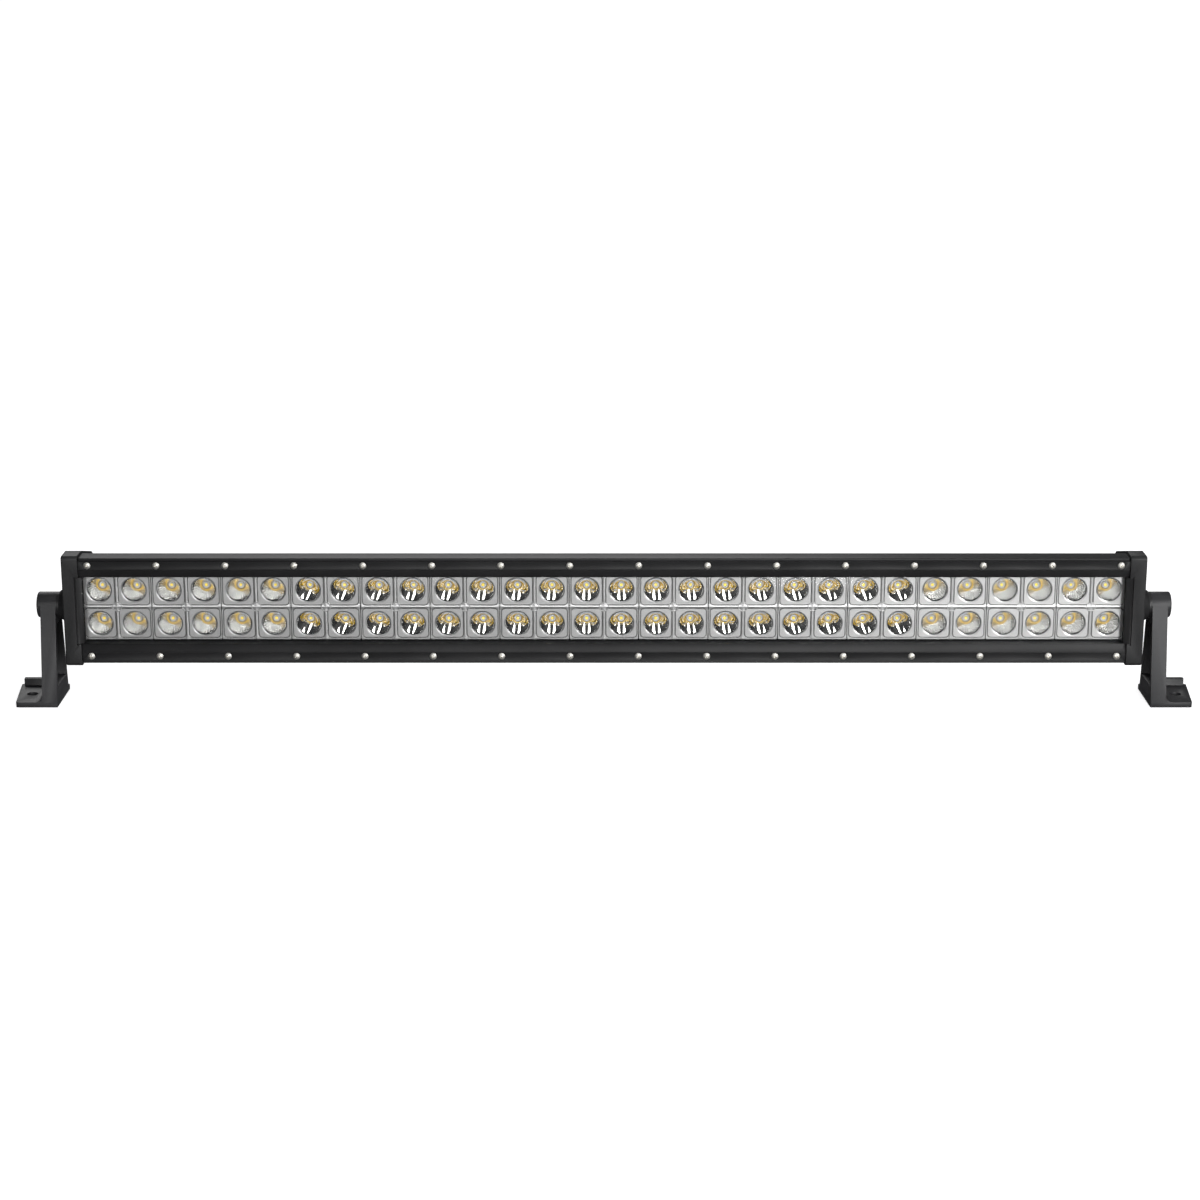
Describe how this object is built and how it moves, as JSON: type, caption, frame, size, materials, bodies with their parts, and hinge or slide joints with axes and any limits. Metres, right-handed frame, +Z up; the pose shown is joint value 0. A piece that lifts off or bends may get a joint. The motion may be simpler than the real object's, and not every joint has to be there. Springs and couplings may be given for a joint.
{
  "type": "led light bar",
  "caption": "Double-row LED light bar with a finned extruded housing, clear lens, plated reflector tiles and tilting bolt-down end brackets.",
  "frame": {"origin": "on the mounting plane, midway between the two foot bolt holes", "axes": "+X along the bar to the right as seen from the front, -Y the way the light shines, +Z up from the mounting plane"},
  "size_m": [0.8882, 0.0716, 0.1161],
  "materials": {
    "housing_powder_coat": "fine-texture black powder coat",
    "bezel_powder_coat": "fine-texture black powder coat, satin",
    "cap_powder_coat": "black powder coat on die casting",
    "bracket_powder_coat": "black powder coat on casting",
    "stainless_steel": "bright stainless",
    "zinc_steel": "zinc-plated steel",
    "clear_polycarbonate": "clear, polished",
    "black_rubber": "matt",
    "spot_plating": "mirror-bright vacuum plating",
    "flood_plating": "bright fluted plating",
    "emitter": "white body, clear dome over yellow phosphor",
    "board_mask": "white solder mask on aluminium",
    "tinned_copper": "tinned",
    "driver_laminate": "green solder mask",
    "ferrite": "matt sintered",
    "capacitor_sleeve": "sleeved aluminium can",
    "chip_resin": "moulded",
    "terminal_plastic": "moulded",
    "lead_insulation": "extruded PVC",
    "nylon": "moulded black nylon"
  },
  "bodies": {
    "left_bracket": {"left_bracket": "bracket_powder_coat"},
    "light_bar": {"housing": "housing_powder_coat", "lens": "clear_polycarbonate", "lens_seal": "black_rubber", "upper_bezel": "bezel_powder_coat", "lower_bezel": "bezel_powder_coat", "upper_bezel_screws": "stainless_steel", "lower_bezel_screws": "stainless_steel", "reflector_screws": "stainless_steel", "board_links": "tinned_copper", "driver_board": "driver_laminate", "driver_inductors": "ferrite", "driver_capacitors": "capacitor_sleeve", "driver_chips": "chip_resin", "input_terminal": "terminal_plastic", "led_leads": "lead_insulation", "wire_grommet": "black_rubber", "gland_body": "nylon", "gland_seal": "black_rubber", "gland_nut": "nylon", "gland_locknut": "nylon", "gland_oring": "black_rubber", "breather_vent": "nylon", "flood_reflector_1": "flood_plating", "flood_reflector_2": "flood_plating", "flood_reflector_3": "flood_plating", "flood_reflector_4": "flood_plating", "flood_reflector_5": "flood_plating", "flood_reflector_6": "flood_plating", "spot_reflector_1": "spot_plating", "spot_reflector_2": "spot_plating", "spot_reflector_3": "spot_plating", "spot_reflector_4": "spot_plating", "spot_reflector_5": "spot_plating", "spot_reflector_6": "spot_plating", "spot_reflector_7": "spot_plating", "spot_reflector_8": "spot_plating", "spot_reflector_9": "spot_plating", "led_board_1": "board_mask", "emitters_1": "emitter", "led_board_2": "board_mask", "emitters_2": "emitter", "led_board_3": "board_mask", "emitters_3": "emitter", "left_end_gasket": "black_rubber", "left_end_cap": "cap_powder_coat", "left_end_cap_screws": "stainless_steel", "left_pivot_pad": "nylon", "left_pivot_bolt": "stainless_steel", "left_spring_washer": "zinc_steel", "left_flat_washer": "zinc_steel", "right_end_gasket": "black_rubber", "right_end_cap": "cap_powder_coat", "right_end_cap_screws": "stainless_steel", "right_pivot_pad": "nylon", "right_pivot_bolt": "stainless_steel", "right_spring_washer": "zinc_steel", "right_flat_washer": "zinc_steel"},
    "right_bracket": {"right_bracket": "bracket_powder_coat"}
  },
  "joints": [
    {"name": "bar_tilt", "type": "hinge", "parent": "left_bracket", "child": "light_bar", "pos_m": [-0.414, 0, 0.074], "axis": [1, 0, 0], "range_deg": [-90, 90]},
    {"name": "right_bracket_swivel", "type": "hinge", "parent": "light_bar", "child": "right_bracket", "pos_m": [0.414, 0, 0.074], "axis": [1, 0, 0], "range_deg": [-90, 90]}
  ],
  "couplings": [
    {"joint": "right_bracket_swivel", "follows": "bar_tilt", "ratio": -1}
  ]
}
